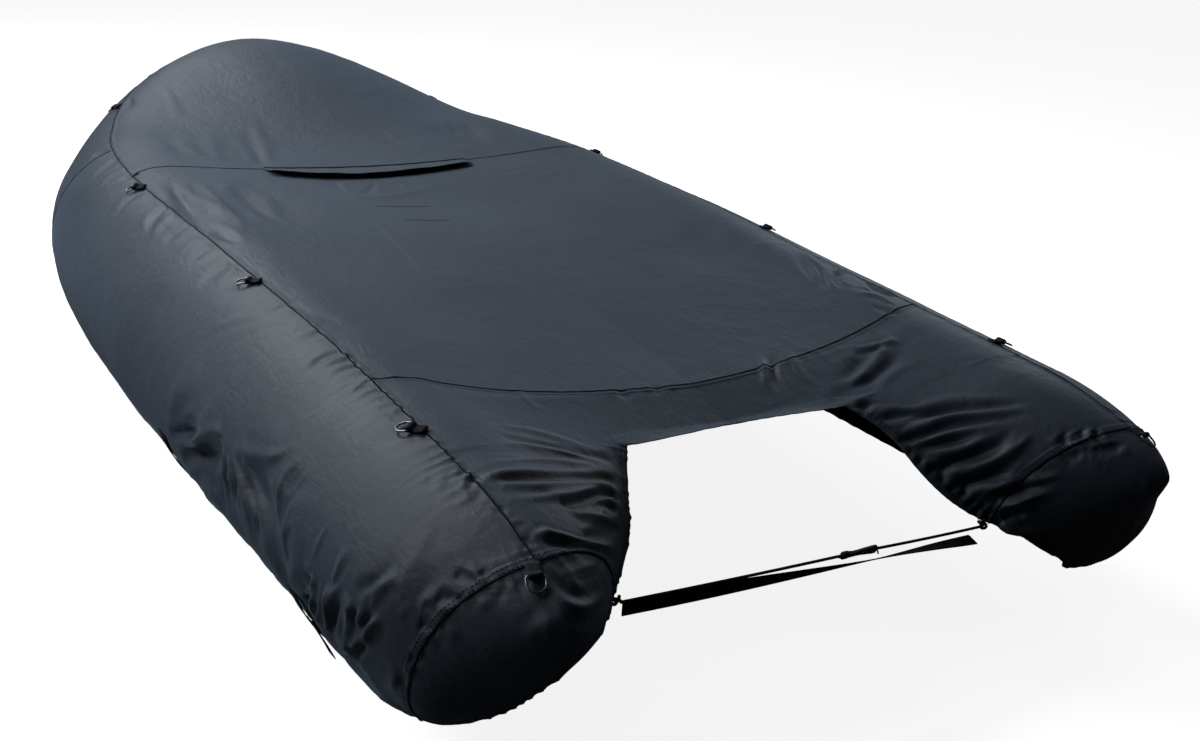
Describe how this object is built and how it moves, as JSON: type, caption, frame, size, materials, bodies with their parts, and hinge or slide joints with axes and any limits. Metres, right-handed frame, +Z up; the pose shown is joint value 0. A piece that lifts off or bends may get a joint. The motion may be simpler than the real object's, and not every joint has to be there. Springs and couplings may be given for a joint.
{
  "type": "inflatable dinghy cover",
  "caption": "Fitted cloth cover for an inflatable dinghy, hollow underneath, with D-rings along its seams, a vent hood on the deck and an elastic cord and strap across the stern.",
  "frame": {"origin": "under the deck cloth on the centre line, where a support pole holds the deck up", "axes": "+Z up, +Y towards the bow, +X to starboard"},
  "size_m": [1.5926, 3.17, 0.6192],
  "materials": {
    "cover_cloth": "coated woven, semi-matte",
    "webbing": "matte",
    "ring_metal": "satin",
    "elastic_cord": "matte",
    "moulded_hook": "matte"
  },
  "bodies": {
    "root": {"panel_bow_deck": "cover_cloth", "panel_mid_deck": "cover_cloth", "panel_stern_deck": "cover_cloth", "panel_bow_side": "cover_cloth", "panel_side_port": "cover_cloth", "panel_side_starboard": "cover_cloth", "cap_port": "cover_cloth", "cap_starboard": "cover_cloth", "vent_hood": "cover_cloth", "loop_port_1": "webbing", "ring_port_1": "ring_metal", "loop_port_2": "webbing", "ring_port_2": "ring_metal", "loop_port_3": "webbing", "ring_port_3": "ring_metal", "loop_port_4": "webbing", "ring_port_4": "ring_metal", "loop_port_5": "webbing", "ring_port_5": "ring_metal", "tab_port_1": "webbing", "tab_port_2": "webbing", "tab_port_3": "webbing", "drawcord_port": "elastic_cord", "loop_starboard_1": "webbing", "ring_starboard_1": "ring_metal", "loop_starboard_2": "webbing", "ring_starboard_2": "ring_metal", "loop_starboard_3": "webbing", "ring_starboard_3": "ring_metal", "loop_starboard_4": "webbing", "ring_starboard_4": "ring_metal", "loop_starboard_5": "webbing", "ring_starboard_5": "ring_metal", "tab_starboard_1": "webbing", "tab_starboard_2": "webbing", "tab_starboard_3": "webbing", "drawcord_starboard": "elastic_cord", "cord_hook": "moulded_hook", "strap_stern": "webbing"}
  },
  "joints": []
}
